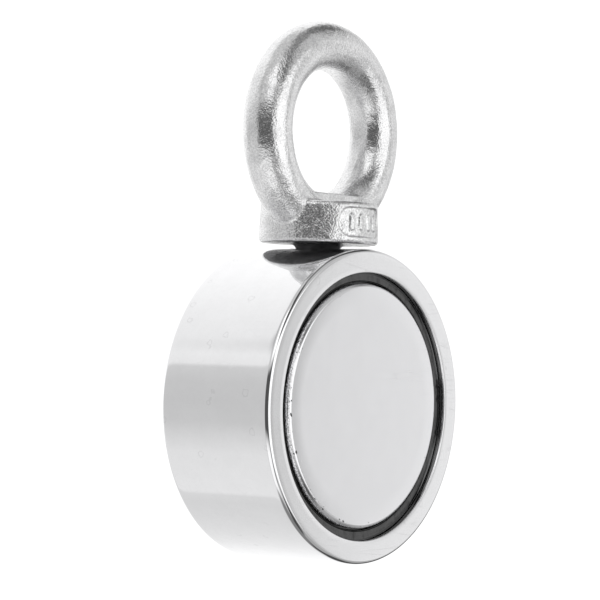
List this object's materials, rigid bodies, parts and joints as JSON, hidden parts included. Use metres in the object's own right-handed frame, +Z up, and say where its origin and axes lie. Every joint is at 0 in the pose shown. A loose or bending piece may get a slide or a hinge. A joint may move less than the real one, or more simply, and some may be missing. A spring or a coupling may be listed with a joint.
{
  "type": "magnet fishing magnet",
  "caption": "Two-faced round fishing magnet: nickel-plated steel pot with a resin-sealed magnet disc in each face and a lifting eye bolt screwed into its rim.",
  "frame": {"origin": "inner top of the eye's hole, where the rope or carabiner pulls", "axes": "+Z up along the eye bolt, away from the pot; Y along the pot's axis, with the front magnet face looking to -Y; X across the rim"},
  "size_m": [0.05, 0.0216, 0.0865],
  "materials": {
    "nickel_plated_steel": "bright nickel plate, mirror-like on the turned rim",
    "magnet_plating": "nickel plate, faintly matt",
    "black_resin": "glossy black poured epoxy",
    "clear_glue": "cured glue, not seen",
    "zinc_forging": "zinc-plated forging with a fine grainy skin"
  },
  "bodies": {
    "eye_bolt": {"eye_bolt": "zinc_forging"},
    "magnet_pot": {"pot_body": "nickel_plated_steel", "magnet_disc_front": "magnet_plating", "magnet_disc_rear": "magnet_plating", "adhesive_film_front": "clear_glue", "adhesive_film_rear": "clear_glue", "resin_ring_front": "black_resin", "resin_ring_rear": "black_resin"}
  },
  "joints": [
    {"name": "eye_bolt_turn", "type": "hinge", "parent": "eye_bolt", "child": "magnet_pot", "pos_m": [0, 0, -0.034], "axis": [0, 0, 1], "range_deg": [-450, 270]}
  ]
}
